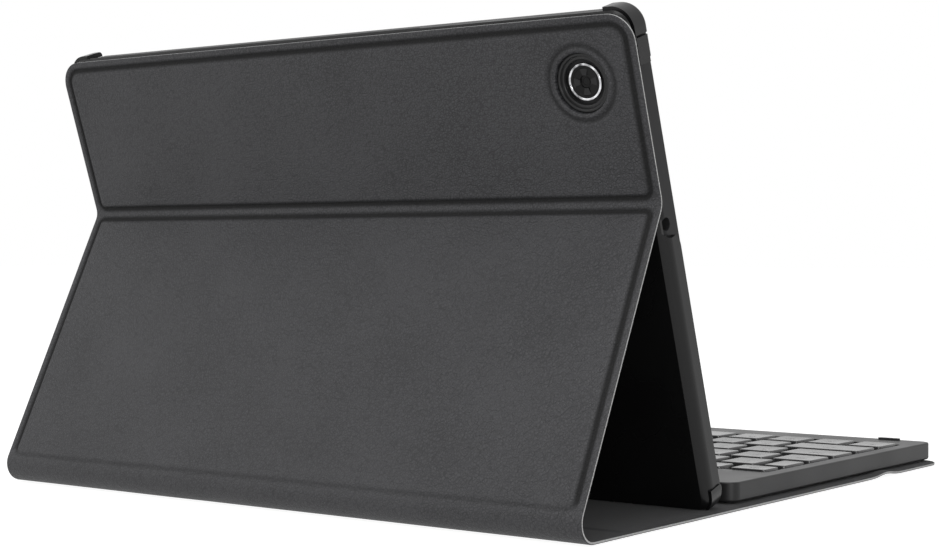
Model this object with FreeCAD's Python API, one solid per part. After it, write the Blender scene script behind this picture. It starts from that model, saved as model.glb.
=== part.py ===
"""Folding keyboard case for a tablet, standing open on a table.

Frame: X along the crease of the back cover, Y towards the rear, Z up. The origin lies
on the table, straight below the crease. Units are millimetres.

Three sets of local coordinates (x, v, n) are used for the flat panels: v runs up the
panel and n runs from the outer leather face towards the inside of the case.
"""
import FreeCAD, Part
import math
import os

V = FreeCAD.Vector

# ---------------------------------------------------------------- driving sizes
# Tablet
TABLET_W = 243.0
TABLET_H = 158.5
TABLET_T = 9.7
TABLET_CORNER = 8.0
GLASS_T = 0.6
GLASS_INSET = 0.5
TABLET_EDGE_R = 3.2
CAMERA_X = -104.0          # from the tablet's centre line
CAMERA_DROP = 19.95        # from the tablet's top edge
CAMERA_RING_R = 5.9
CAMERA_RING_WALL = 0.8
CAMERA_RING_PROUD = 1.1
CAMERA_LENS_SINK = 0.35
CAMERA_SEAT = 0.6          # how far the ring is let into the shell
JACK_R = 2.1
JACK_DEPTH = 12.0
JACK_FROM_BOTTOM = 92.0    # along the tablet's short side
JACK_FROM_BACK = 3.4

# Hard tray that the tablet snaps into
FIT = 0.15                 # tablet to tray
TRAY_WALL = 1.4
TRAY_BACK = 1.5
TRAY_CORNER = 7.0
TRAY_BACK_ROUND = 4.7
GAP_INWARD = 2.0           # gaps in the walls reach this far into the rounded pocket
TRAY_SIDE_SHORT = 2.3      # side walls stop this far below the tablet's front
LOW_LIP = 0.9              # height of the cut-down lips over the pocket's floor
CLAW_SHORT = 1.6           # the claws stop this far below the tablet's front
CLAW_ALONG_SIDE = 18.2
CLAW_ALONG_TOP = 9.5
CLAW_CUT = 2.0             # the side claws' ends lean back by this much
CLAW_PROUD = 0.45
CLAW_LIFT = 2.2            # the proud part starts this far above the tray's outer face
CLAW_ROUND = 1.3
CLAW_SLIT = 0.7
CLAW_SLIT_DROP = 9.5       # from the tray's top edge
TOE_CLAW = 4.5             # height of the lower claws over the pocket's end
TOE_CUT = 1.5              # chamfer of their upper end
TOP_STEP_X = -44.0         # on the camera's side of this the top lip is a step lower
TOP_STEP = 0.3
WALL_UNDER_JACK = 3.2      # the camera side's wall starts this far below the jack
WALL_SHOULDER_R = 4.8
JACK_NOTCH_R = 4.2
PORT_GAP_HALF = 11.0
SPEAKER_GAP_HALF = 9.0
SPEAKER_GAPS = (-45.0, 38.0)    # along the far side, from the charging port
FOOT_SKIN = 1.6            # least thickness under the pocket at the foot
LOWER_BACK_STEP = 0.5      # the unglued lower back stands off the flap
CAMERA_HOLE_TRAY_R = 7.2
CAMERA_CONE = 1.4          # how much wider the tray's hole is at its outer face

# Leather cover: skin, board and lining
SKIN_T = 0.6
BOARD_T = 0.8
LINING_T = 0.3
BOARD_INSET = 4.2          # from the cut edge to the board
BOARD_CORNER = 4.3
BOARD_HINGE_CORNER = 1.5
OVERHANG = 1.95            # leather past the tray's side walls
TOP_LIP = 1.2              # tray wall showing above the leather's top edge
COVER_CORNER = 9.0
CREASE_HALF = 3.0          # half the bare strip between two boards
JOINT_GAP = 0.15           # half the cut between two bodies
CAMERA_HOLE_R = 9.5

# Stand: flap, lower bend and spine
FLAP_LENGTH = 98.0         # from the crease to where the bend begins
TRAY_LEAN = 18.0           # degrees back from upright
FLAP_LEAN = 26.0           # degrees forward from upright
BEND_R = 7.0               # outer radius of the lower bend
SPINE_FLAT = 17.0          # flat part of the spine on the table
SPINE_GAP = 0.9            # flap to the end of the bent strip
FOOT_CLEAR = 0.3

# Keyboard
KB_SIDE_MARGIN = 3.0       # leather showing beside the keyboard
KB_BEHIND_TRAY = 7.5       # gap between the tray's foot and the keyboard
KB_DEPTH = 161.5
KB_FRONT_MARGIN = 2.5
KB_CORNER = 4.5
KB_CLEAR = 0.2
FOOT_T = 0.4
SHELL_H = 5.2
SHELL_WALL = 1.6
SHELL_FLOOR = 0.9
FRAME_T = 1.4
KEYS_FROM_REAR = 33.5
KEY_SIDE = 6.2             # frame beside the outermost keys
WELL_CLEAR = 0.9
KEY_GAP = 3.3
FN_ROW_DEPTH = 11.4
ROW_DEPTH = 16.3
KEY_PROUD = 0.6
KEY_TRAVEL = 1.8
KEY_SKIRT = 3.0
KEY_SKIN = 0.9
KEY_TAPER = 0.45
POST_HALF = 1.5
POST_CLEAR = 0.3
SOCKET_WALL = 0.9
POST_OVERLAP = 0.3
MEMBRANE_T = 0.2
KEY_PLATE_T = 0.8
DOME_SHEET_T = 0.3
TRAVEL_SPARE = 0.15
MAGNET_R = 5.0
MAGNET_FROM_SIDE = 22.0
MAGNET_FROM_FRONT = 8.5
MAGNET_FROM_REAR = 14.0
SCREW_R = 1.2
SCREW_HEAD_R = 2.2
SCREW_HEAD_T = 0.6
SCREW_BOSS_R = 2.6
SCREW_FROM_SIDE = 9.0
SCREW_FROM_REAR = 8.0
SCREW_FROM_FRONT = 7.5
SHELL_ROUND = 0.9
FRAME_ROUND = 0.6
WELL_CORNER = 1.6
SLIDER_LEN = 7.0
SLIDER_TRAVEL = 3.0
SLIDER_HALF_T = 0.8
SLIDER_SPARE = 0.3
SLIDER_PROUD = 0.5
SLIDER_INWARD = 1.2
SLIDER_FROM_REAR = 11.0
CHARGE_FROM_REAR = 26.0
CHARGE_DEPTH = 6.0
CHARGE_HALF = 4.6
CHARGE_HALF_T = 1.7
CHARGE_WALL = 0.4
CHARGE_BACK = 2.0
CHARGE_SINK = 0.3
LIGHTS = 3
LIGHT_R = 0.8
LIGHT_SINK = 0.6
LIGHT_PITCH = 7.0
LIGHT_FROM_SIDE = 18.0
LIGHT_FROM_REAR = 11.0
BUMPER_HALF = 4.5
BUMPER_HALF_DEPTH = 1.3
BUMPER_T = 0.7
BUMPER_FROM_SIDE = 17.0
BUMPER_FROM_FRONT = 2.6
BUMPER_FROM_REAR = 6.0
RUBBER_FOOT_HALF = 12.0
RUBBER_FOOT_HALF_DEPTH = 3.0
RUBBER_FOOT_FROM_SIDE = 30.0
RUBBER_FOOT_FROM_END = 22.0
KB_MAGNET_T = 1.0
BAY_SPARE = 3.0            # between the works under the keys and the parts behind them
BAY_FROM_REAR = 14.0
CIRCUIT_X = (15.0, 85.0)
CIRCUIT_T = 1.0
CHIP_X = (40.0, 62.0)
CHIP_SIDE = 7.0
CHIP_T = 0.9
CHIP_SET_IN = 4.0
BATTERY_X = (-60.0, -2.0)
BATTERY_CLEAR = 0.6
BATTERY_CORNER = 1.2

# Key rows from the rear to the front: widths in key units and the row's free keys
ROWS = (
    ("fn", (1,) * 12 + (1.5,), {0: "key_escape", 1: "key_f1"}),
    ("digit", (0.7,) + (1,) * 11 + (1.8,),
     {0: "key_backquote", 1: "key_1", 2: "key_2", 12: "key_backspace"}),
    ("top", (1.1,) + (1,) * 11 + (1.4,), {0: "key_tab", 1: "key_q", 2: "key_w"}),
    ("home", (1.5,) + (1,) * 10 + (2.0,),
     {0: "key_caps", 1: "key_a", 2: "key_s", 11: "key_enter"}),
    ("bottom", (2.0,) + (1,) * 10 + (1.5,), {0: "key_shift", 1: "key_z", 2: "key_x"}),
    ("space", (1,) * 4 + (5.0,) + (1.0,) + (3.5 / 3,) * 3,
     {0: "key_fn", 1: "key_ctrl", 2: "key_option", 3: "key_alt", 4: "key_space"}),
)
UNITS_WIDE = 13.5

# ---------------------------------------------------------------- derived sizes
def deg_sin(angle):
    return math.sin(math.radians(angle))


def deg_cos(angle):
    return math.cos(math.radians(angle))


def deg_tan(angle):
    return math.tan(math.radians(angle))


PANEL_T = SKIN_T + BOARD_T + LINING_T
TURN = 90.0 + FLAP_LEAN                       # angle of the lower bend
BEND_SET = BEND_R * deg_tan(TURN / 2.0)       # tangent point to corner
CREASE_Z = (FLAP_LENGTH + BEND_SET) * deg_cos(FLAP_LEAN)
BEND_Y = (FLAP_LENGTH + BEND_SET) * deg_sin(FLAP_LEAN) - BEND_SET
SPINE_Y = BEND_Y - SPINE_FLAT                 # crease between spine and front cover

POCKET_HALF = TABLET_W / 2.0 + FIT
TRAY_HALF = POCKET_HALF + TRAY_WALL
LEATHER_HALF = TRAY_HALF + OVERHANG
POCKET_N = PANEL_T + TRAY_BACK
TABLET_N = POCKET_N + FIT
FRONT_N = TABLET_N + TABLET_T
CLAW_N = FRONT_N - CLAW_SHORT
FOOT_Z = PANEL_T + FOOT_CLEAR
POCKET_V0 = (FOOT_Z + FOOT_SKIN - CREASE_Z - POCKET_N * deg_sin(TRAY_LEAN)) / deg_cos(TRAY_LEAN)
TABLET_V0 = POCKET_V0 + FIT
TABLET_V1 = TABLET_V0 + TABLET_H
POCKET_V1 = TABLET_V1 + FIT
TRAY_V1 = POCKET_V1 + TRAY_WALL
TRAY_V0 = (FOOT_Z - CREASE_Z - CLAW_N * deg_sin(TRAY_LEAN)) / deg_cos(TRAY_LEAN)
UPPER_V1 = TRAY_V1 - TOP_LIP
CAMERA_V = TABLET_V1 - CAMERA_DROP

TRAY_TOE_Y = (FOOT_Z - CREASE_Z - CLAW_N / deg_sin(TRAY_LEAN)) * deg_tan(TRAY_LEAN)
KB_Y1 = TRAY_TOE_Y - KB_BEHIND_TRAY
KB_Y0 = KB_Y1 - KB_DEPTH
KB_HALF = LEATHER_HALF - KB_SIDE_MARGIN
FRONT_Y0 = KB_Y0 - KB_FRONT_MARGIN

FOOT_Z0 = PANEL_T + KB_CLEAR
SHELL_Z0 = FOOT_Z0 + FOOT_T
FLOOR_Z = SHELL_Z0 + SHELL_FLOOR
PART_Z = SHELL_Z0 + SHELL_H
FRAME_Z1 = PART_Z + FRAME_T
KEY_Z1 = FRAME_Z1 + KEY_PROUD
MEMBRANE_Z1 = FLOOR_Z + MEMBRANE_T
PLATE_Z1 = MEMBRANE_Z1 + KEY_PLATE_T
DOME_Z1 = PLATE_Z1 + DOME_SHEET_T
SOCKET_Z0 = DOME_Z1 + TRAVEL_SPARE + KEY_TRAVEL
POST_Z1 = SOCKET_Z0 + POST_OVERLAP
KEY_Z0 = KEY_Z1 - KEY_SKIRT
KEYS_Y1 = KB_Y1 - KEYS_FROM_REAR
KEYS_HALF = KB_HALF - KEY_SIDE
UNIT = (2 * KEYS_HALF + KEY_GAP) / UNITS_WIDE
REAR_BAY = KEYS_FROM_REAR - WELL_CLEAR        # room behind the keys

TRAY_AT = FreeCAD.Placement(V(0, 0, CREASE_Z), FreeCAD.Rotation(V(1, 0, 0), 90 - TRAY_LEAN))
FLAP_AT = FreeCAD.Placement(V(0, 0, CREASE_Z), FreeCAD.Rotation(V(1, 0, 0), 90 + FLAP_LEAN))


# ---------------------------------------------------------------- shape helpers
def box(x0, x1, y0, y1, z0, z1):
    return Part.makeBox(x1 - x0, y1 - y0, z1 - z0, V(x0, y0, z0))


def rounded(x0, x1, y0, y1, z0, z1, front_r, rear_r=None):
    """A plate with its upright edges rounded: front_r at y0 and rear_r at y1."""
    rear_r = front_r if rear_r is None else rear_r
    corners = ((x1, y0, front_r, 270), (x1, y1, rear_r, 0), (x0, y1, rear_r, 90), (x0, y0, front_r, 180))
    edges = []
    ends = []
    for x, y, radius, start in corners:
        if radius <= 0:
            ends.append((V(x, y, z0), V(x, y, z0)))
            continue
        centre = V(x - math.copysign(radius, x - (x0 + x1) / 2),
                   y - math.copysign(radius, y - (y0 + y1) / 2), z0)
        first, middle, last = (centre + V(radius * deg_cos(start + turn), radius * deg_sin(start + turn), 0)
                               for turn in (0, 45, 90))
        edges.append(Part.Arc(first, middle, last).toShape())
        ends.append((first, last))
    for index, (_, leave) in enumerate(ends):
        arrive = ends[(index + 1) % 4][0]
        edges.append(Part.LineSegment(leave, arrive).toShape())
    wire = Part.Wire(Part.__sortEdges__(edges))
    return Part.Face(wire).extrude(V(0, 0, z1 - z0))


def cylinder(radius, base, axis, length):
    return Part.makeCylinder(radius, length, base, axis)


def place(shape, placement):
    moved = shape.copy()
    moved.Placement = placement.multiply(moved.Placement)
    return moved


def group(shapes):
    return Part.makeCompound(shapes)


def edges_at(shape, height):
    """Edges that lie flat at one height along local n."""
    found = []
    for edge in shape.Edges:
        ends = edge.BoundBox
        if abs(ends.ZMin - height) < 1e-6 and abs(ends.ZMax - height) < 1e-6:
            found.append(edge)
    return found


def prism(x0, x1, outline):
    """A straight piece along x whose end is an outline of (y, z) points."""
    corners = [V(x0, y, z) for y, z in outline]
    return Part.Face(Part.makePolygon(corners + corners[:1])).extrude(V(x1 - x0, 0, 0))


# ---------------------------------------------------------------- leather cover
def skin_panel(v0, v1, low_r=0.0, high_r=0.0):
    return rounded(-LEATHER_HALF, LEATHER_HALF, v0, v1, 0, SKIN_T, low_r, high_r)


def board_panel(v0, v1, thickness, low_r=BOARD_HINGE_CORNER, high_r=BOARD_HINGE_CORNER):
    half = LEATHER_HALF - BOARD_INSET
    return rounded(-half, half, v0, v1, SKIN_T, SKIN_T + thickness, low_r, high_r)


def lining_panel(v0, v1, board, low_r=0.0, high_r=0.0):
    sheet = rounded(-LEATHER_HALF, LEATHER_HALF, v0, v1, SKIN_T, PANEL_T, low_r, high_r)
    return sheet.cut(board)


def upper_cover():
    hole = cylinder(CAMERA_HOLE_R, V(CAMERA_X, CAMERA_V, -1), V(0, 0, 1), PANEL_T + 2)
    skin = skin_panel(JOINT_GAP, UPPER_V1, 0.0, COVER_CORNER).cut(hole)
    board = board_panel(CREASE_HALF, UPPER_V1 - BOARD_INSET, BOARD_T + LINING_T, high_r=BOARD_CORNER)
    board = board.cut(hole)
    return {"skin_upper": place(skin, TRAY_AT), "board_upper": place(board, TRAY_AT)}


def flap_cover():
    low = -FLAP_LENGTH + SPINE_GAP
    skin = skin_panel(low, -JOINT_GAP)
    board = board_panel(low + CREASE_HALF, -CREASE_HALF, BOARD_T)
    lining = lining_panel(low, -JOINT_GAP, board)
    return {"skin_flap": place(skin, FLAP_AT), "board_flap": place(board, FLAP_AT),
            "lining_flap": place(lining, FLAP_AT)}


def bent_strip(outer_r, inner_r):
    """The lower bend and the flat of the spine, as one strip across the case."""
    z_low = BEND_R - outer_r
    z_high = BEND_R - inner_r
    centre = V(-LEATHER_HALF, BEND_Y, BEND_R)
    spokes = [V(0, deg_sin(turn), -deg_cos(turn)) for turn in (0, TURN / 2, TURN)]
    y_flat = SPINE_Y + JOINT_GAP
    corner_low = V(-LEATHER_HALF, y_flat, z_low)
    corner_high = V(-LEATHER_HALF, y_flat, z_high)
    outer = [centre + spoke * outer_r for spoke in spokes]
    inner = [centre + spoke * inner_r for spoke in spokes]
    edges = [Part.LineSegment(corner_low, outer[0]), Part.Arc(*outer),
             Part.LineSegment(outer[2], inner[2]), Part.Arc(*reversed(inner)),
             Part.LineSegment(inner[0], corner_high), Part.LineSegment(corner_high, corner_low)]
    wire = Part.Wire([edge.toShape() for edge in edges])
    return Part.Face(wire).extrude(V(2 * LEATHER_HALF, 0, 0))


def spine_cover():
    return {"skin_spine": bent_strip(BEND_R, BEND_R - SKIN_T),
            "lining_spine": bent_strip(BEND_R - SKIN_T, BEND_R - PANEL_T)}


def magnet_places():
    x = KB_HALF - MAGNET_FROM_SIDE
    rows = (KB_Y0 + MAGNET_FROM_FRONT, KB_Y1 - MAGNET_FROM_REAR)
    return [(side * x, y) for side in (-1, 1) for y in rows]


def front_cover():
    rear = SPINE_Y - JOINT_GAP
    magnets = [cylinder(MAGNET_R, V(x, y, SKIN_T), V(0, 0, 1), BOARD_T) for x, y in magnet_places()]
    full_board = board_panel(FRONT_Y0 + BOARD_INSET, rear - CREASE_HALF, BOARD_T, low_r=BOARD_CORNER)
    return {"skin_front": skin_panel(FRONT_Y0, rear, COVER_CORNER, 0.0),
            "board_front": full_board.cut(group(magnets)),
            "lining_front": lining_panel(FRONT_Y0, rear, full_board, COVER_CORNER, 0.0),
            "cover_magnets": group(magnets)}


# ---------------------------------------------------------------- tray
def tray_claws(bottom, top, reach, inner_claw, side_claw, toe_claw):
    """Four corner claws, proud of the walls, with rounded fronts and leaning ends."""
    half = TRAY_HALF + CLAW_PROUD
    proud = rounded(-half, half, TRAY_V0, TRAY_V1 + CLAW_PROUD, PANEL_T + CLAW_LIFT, CLAW_N,
                    TRAY_CORNER + CLAW_PROUD)
    proud = proud.makeFillet(CLAW_ROUND, edges_at(proud, CLAW_N))
    corners = []
    for side in (-1, 1):
        x_in, x_out = sorted((side * inner_claw, side * reach))
        corners.append(box(x_in, x_out, side_claw, top, 0, FRONT_N))
        corners.append(box(x_in, x_out, bottom, toe_claw, 0, FRONT_N))
    claws = proud.common(group(corners))
    low_n = PANEL_T + CLAW_LIFT
    claws = claws.cut(prism(-reach, reach, ((side_claw, low_n), (side_claw + CLAW_CUT, CLAW_N),
                                            (side_claw, CLAW_N))))
    return claws.cut(prism(-reach, reach, ((toe_claw, CLAW_N - TOE_CUT), (toe_claw, CLAW_N),
                                           (toe_claw - TOE_CUT, CLAW_N))))


def jack_side_cuts(reach, wall_n, lip_n, side_claw):
    """On the camera's side the wall gives way to a low lip from the jack up to the claw."""
    jack_v = TABLET_V0 + JACK_FROM_BOTTOM
    wall_end = jack_v - WALL_UNDER_JACK
    inner = -POCKET_HALF + GAP_INWARD
    lip = box(-reach, inner, wall_end, side_claw, lip_n, FRONT_N)
    notch = cylinder(JACK_NOTCH_R, V(-reach, jack_v, TABLET_N + JACK_FROM_BACK), V(1, 0, 0),
                     reach - POCKET_HALF)
    shoulder_v = wall_end - WALL_SHOULDER_R
    shoulder_n = wall_n - WALL_SHOULDER_R
    shoulder = box(-reach, inner, shoulder_v, wall_end, shoulder_n, wall_n)
    shoulder = shoulder.cut(cylinder(WALL_SHOULDER_R, V(-reach, shoulder_v, shoulder_n), V(1, 0, 0),
                                     reach + inner))
    return [lip, notch, shoulder]


def tray():
    """One moulded shell: back, walls cut down between four corner claws, flat foot."""
    wall_n = FRONT_N - TRAY_SIDE_SHORT
    lip_n = POCKET_N + LOW_LIP
    side_claw = TRAY_V1 - CLAW_ALONG_SIDE
    toe_claw = POCKET_V0 + TOE_CLAW
    inner_claw = TRAY_HALF - CLAW_ALONG_TOP
    reach = TRAY_HALF + 5
    bottom = TRAY_V0 - 5
    top = TRAY_V1 + 5
    shell = rounded(-TRAY_HALF, TRAY_HALF, TRAY_V0, TRAY_V1, PANEL_T, wall_n, TRAY_CORNER)
    shell = shell.makeFillet(TRAY_BACK_ROUND, edges_at(shell, PANEL_T))
    shell = shell.fuse(tray_claws(bottom, top, reach, inner_claw, side_claw, toe_claw))
    pocket = rounded(-POCKET_HALF, POCKET_HALF, POCKET_V0, POCKET_V1, POCKET_N, FRONT_N, TABLET_CORNER)
    cuts = [pocket.makeFillet(TABLET_EDGE_R + FIT, edges_at(pocket, POCKET_N))]
    cuts += jack_side_cuts(reach, wall_n, lip_n, side_claw)
    # top: a low lip between the claws for the buttons, a step lower towards the camera
    cuts.append(box(-inner_claw, inner_claw, POCKET_V1 - GAP_INWARD, top, lip_n, FRONT_N))
    cuts.append(box(-inner_claw, TOP_STEP_X, POCKET_V1 - GAP_INWARD, top, lip_n - TOP_STEP, FRONT_N))
    # far side: charging port and speaker gaps
    port_v = (TABLET_V0 + TABLET_V1) / 2
    gaps = [(port_v, PORT_GAP_HALF)] + [(port_v + away, SPEAKER_GAP_HALF) for away in SPEAKER_GAPS]
    for v, half in gaps:
        cuts.append(box(POCKET_HALF - GAP_INWARD, reach, v - half, v + half, lip_n, FRONT_N))
    # slits that let the two top claws flex
    slit_v = TRAY_V1 - CLAW_SLIT_DROP
    for side in (-1, 1):
        x_in, x_out = sorted((side * (POCKET_HALF - GAP_INWARD), side * reach))
        cuts.append(box(x_in, x_out, slit_v - CLAW_SLIT / 2, slit_v + CLAW_SLIT / 2, lip_n, FRONT_N))
    # the unglued lower back
    cuts.append(box(-reach, reach, bottom, 0.0, 0, PANEL_T + LOWER_BACK_STEP))
    # camera hole, wider at the outer face
    cuts.append(cylinder(CAMERA_HOLE_TRAY_R, V(CAMERA_X, CAMERA_V, 0), V(0, 0, 1), FRONT_N))
    cuts.append(Part.makeCone(CAMERA_HOLE_TRAY_R + CAMERA_CONE, CAMERA_HOLE_TRAY_R, TRAY_BACK,
                              V(CAMERA_X, CAMERA_V, PANEL_T), V(0, 0, 1)))
    for tool in cuts:
        shell = shell.cut(tool)
    shell = place(shell, TRAY_AT)
    table_side = box(-reach, reach, TRAY_TOE_Y - 60, BEND_Y, FOOT_Z - 60, FOOT_Z)
    return {"tray": shell.cut(table_side)}


# ---------------------------------------------------------------- tablet
def tablet():
    half = TABLET_W / 2.0
    glass_n = FRONT_N - GLASS_T
    shell = rounded(-half, half, TABLET_V0, TABLET_V1, TABLET_N, FRONT_N, TABLET_CORNER)
    shell = shell.makeFillet(TABLET_EDGE_R, edges_at(shell, TABLET_N))
    glass = rounded(-half + GLASS_INSET, half - GLASS_INSET, TABLET_V0 + GLASS_INSET,
                    TABLET_V1 - GLASS_INSET, glass_n, FRONT_N, TABLET_CORNER - GLASS_INSET)
    shell = shell.cut(glass)
    jack_at = V(-half - 1, TABLET_V0 + JACK_FROM_BOTTOM, TABLET_N + JACK_FROM_BACK)
    shell = shell.cut(cylinder(JACK_R, jack_at, V(1, 0, 0), JACK_DEPTH + 1))
    ring_n = TABLET_N - CAMERA_RING_PROUD
    ring_at = V(CAMERA_X, CAMERA_V, ring_n)
    plug = cylinder(CAMERA_RING_R, ring_at, V(0, 0, 1), CAMERA_RING_PROUD + CAMERA_SEAT)
    shell = shell.cut(plug)
    bore = cylinder(CAMERA_RING_R - CAMERA_RING_WALL, ring_at, V(0, 0, 1), CAMERA_RING_PROUD + CAMERA_SEAT)
    ring = plug.cut(bore)
    lens_at = V(CAMERA_X, CAMERA_V, ring_n + CAMERA_LENS_SINK)
    lens = cylinder(CAMERA_RING_R - CAMERA_RING_WALL, lens_at, V(0, 0, 1),
                    CAMERA_RING_PROUD + CAMERA_SEAT - CAMERA_LENS_SINK)
    parts = {"tablet_shell": shell, "tablet_glass": glass, "camera_ring": ring, "camera_lens": lens}
    return {name: place(shape, TRAY_AT) for name, shape in parts.items()}


# ---------------------------------------------------------------- keyboard
def key_cells():
    """Every key as (row name, node name, x0, x1, y0, y1)."""
    cells = []
    y1 = KEYS_Y1
    for name, widths, free in ROWS:
        depth = FN_ROW_DEPTH if name == "fn" else ROW_DEPTH
        x = -KEYS_HALF
        for index, units in enumerate(widths):
            width = units * UNIT - KEY_GAP
            cells.append((name, free.get(index, "keys_row_" + name), x, x + width, y1 - depth, y1))
            x += units * UNIT
        y1 -= depth + KEY_GAP
    return cells


def post_places(x0, x1, y0, y1):
    middle = (x0 + x1) / 2
    spread = (x1 - x0) / 4 if x1 - x0 > 3 * UNIT else 0.0
    return [(x, (y0 + y1) / 2) for x in sorted({middle - spread, middle + spread})]


def square_column(x, y, half, z0, z1):
    return box(x - half, x + half, y - half, y + half, z0, z1)


def frustum(x0, x1, y0, y1, z0, z1, taper):
    low = Part.makePolygon([V(x0, y0, z0), V(x1, y0, z0), V(x1, y1, z0), V(x0, y1, z0), V(x0, y0, z0)])
    a, b, c, d = x0 + taper, x1 - taper, y0 + taper, y1 - taper
    high = Part.makePolygon([V(a, c, z1), V(b, c, z1), V(b, d, z1), V(a, d, z1), V(a, c, z1)])
    return Part.makeLoft([low, high], True, True)


def keycap(x0, x1, y0, y1):
    body = frustum(x0, x1, y0, y1, KEY_Z0, KEY_Z1, KEY_TAPER)
    wall = KEY_SKIN + KEY_TAPER
    body = body.cut(box(x0 + wall, x1 - wall, y0 + wall, y1 - wall, KEY_Z0 - 1, KEY_Z1 - KEY_SKIN))
    inner = POST_HALF + POST_CLEAR
    for x, y in post_places(x0, x1, y0, y1):
        socket = square_column(x, y, inner + SOCKET_WALL, SOCKET_Z0, KEY_Z1 - KEY_SKIN)
        body = body.fuse(socket.cut(square_column(x, y, inner, SOCKET_Z0 - 1, KEY_Z1 - KEY_SKIN)))
    return body.removeSplitter()


def keycaps(cells):
    nodes = {}
    for _, node, x0, x1, y0, y1 in cells:
        nodes.setdefault(node, []).append(keycap(x0, x1, y0, y1))
    return {node: caps[0] if len(caps) == 1 else group(caps) for node, caps in nodes.items()}


def keyboard_case(cells):
    front = min(cell[4] for cell in cells)
    inner_half = KB_HALF - SHELL_WALL
    side_z = (FLOOR_Z + PART_Z) / 2
    shell = rounded(-KB_HALF, KB_HALF, KB_Y0, KB_Y1, SHELL_Z0, PART_Z, KB_CORNER)
    shell = shell.makeFillet(SHELL_ROUND, edges_at(shell, SHELL_Z0))
    hollow = rounded(-inner_half, inner_half, KB_Y0 + SHELL_WALL, KB_Y1 - SHELL_WALL, FLOOR_Z, PART_Z + 1,
                     KB_CORNER - SHELL_WALL)
    shell = shell.cut(hollow)
    frame = rounded(-KB_HALF, KB_HALF, KB_Y0, KB_Y1, PART_Z, FRAME_Z1, KB_CORNER)
    frame = frame.makeFillet(FRAME_ROUND, edges_at(frame, FRAME_Z1))
    well_half = KEYS_HALF + WELL_CLEAR
    well = rounded(-well_half, well_half, front - WELL_CLEAR, KEYS_Y1 + WELL_CLEAR, PART_Z - 1,
                   FRAME_Z1 + 1, WELL_CORNER)
    frame = frame.cut(well)
    # screws: bosses on the floor, countersunk from below
    bosses = []
    screws = []
    for x in (-KB_HALF + SCREW_FROM_SIDE, 0.0, KB_HALF - SCREW_FROM_SIDE):
        for y in (KB_Y1 - SCREW_FROM_REAR, KB_Y0 + SCREW_FROM_FRONT):
            bosses.append(cylinder(SCREW_BOSS_R, V(x, y, FLOOR_Z), V(0, 0, 1), PART_Z - FLOOR_Z))
            head = cylinder(SCREW_HEAD_R, V(x, y, SHELL_Z0), V(0, 0, 1), SCREW_HEAD_T)
            screws.append(head.fuse(cylinder(SCREW_R, V(x, y, SHELL_Z0), V(0, 0, 1), SHELL_H)))
    shell = shell.fuse(group(bosses)).cut(group(screws))
    # power slider and charging socket in the right side wall
    slider_y0 = KB_Y1 - SLIDER_FROM_REAR - SLIDER_LEN / 2
    slider_y1 = slider_y0 + SLIDER_LEN
    slot_half = SLIDER_HALF_T + SLIDER_SPARE
    slot = box(inner_half - 1, KB_HALF + 1, slider_y0 - SLIDER_TRAVEL - SLIDER_SPARE,
               slider_y1 + SLIDER_SPARE, side_z - slot_half, side_z + slot_half)
    slider = box(inner_half - SLIDER_INWARD, KB_HALF + SLIDER_PROUD, slider_y0, slider_y1,
                 side_z - SLIDER_HALF_T, side_z + SLIDER_HALF_T)
    charge_x = inner_half - CHARGE_DEPTH

    def charge_box(x0, x1, wall):
        y = KB_Y1 - CHARGE_FROM_REAR
        return box(x0, x1, y - CHARGE_HALF + wall, y + CHARGE_HALF - wall,
                   side_z - CHARGE_HALF_T + wall, side_z + CHARGE_HALF_T - wall)

    socket = charge_box(charge_x, KB_HALF - CHARGE_SINK, 0.0)
    socket = socket.cut(charge_box(charge_x + CHARGE_BACK, KB_HALF + 1, CHARGE_WALL))
    shell = shell.cut(slot).cut(charge_box(charge_x, KB_HALF + 1, 0.0))
    # status lights through the frame
    lights = [cylinder(LIGHT_R, V(KB_HALF - LIGHT_FROM_SIDE - LIGHT_PITCH * index, KB_Y1 - LIGHT_FROM_REAR,
                                  PART_Z - LIGHT_SINK), V(0, 0, 1), FRAME_T + LIGHT_SINK)
              for index in range(LIGHTS)]
    frame = frame.cut(group(lights))
    bumpers = []
    feet = []
    for side in (-1, 1):
        x = side * (KB_HALF - BUMPER_FROM_SIDE)
        for y in (KB_Y0 + BUMPER_FROM_FRONT, KB_Y1 - BUMPER_FROM_REAR):
            bumpers.append(rounded(x - BUMPER_HALF, x + BUMPER_HALF, y - BUMPER_HALF_DEPTH,
                                   y + BUMPER_HALF_DEPTH, FRAME_Z1, FRAME_Z1 + BUMPER_T,
                                   BUMPER_HALF_DEPTH - 0.1))
        x = side * (KB_HALF - RUBBER_FOOT_FROM_SIDE)
        for y in (KB_Y0 + RUBBER_FOOT_FROM_END, KB_Y1 - RUBBER_FOOT_FROM_END):
            feet.append(rounded(x - RUBBER_FOOT_HALF, x + RUBBER_FOOT_HALF, y - RUBBER_FOOT_HALF_DEPTH,
                                y + RUBBER_FOOT_HALF_DEPTH, FOOT_Z0, SHELL_Z0,
                                RUBBER_FOOT_HALF_DEPTH - 0.1))
    magnets = [cylinder(MAGNET_R, V(x, y, FLOOR_Z), V(0, 0, 1), KB_MAGNET_T) for x, y in magnet_places()]
    return {"kb_shell": shell, "kb_frame": frame, "kb_screws": group(screws), "kb_power_slider": slider,
            "kb_charge_socket": socket, "kb_lights": group(lights), "kb_bumpers": group(bumpers),
            "kb_feet": group(feet), "kb_magnets": group(magnets)}


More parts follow.
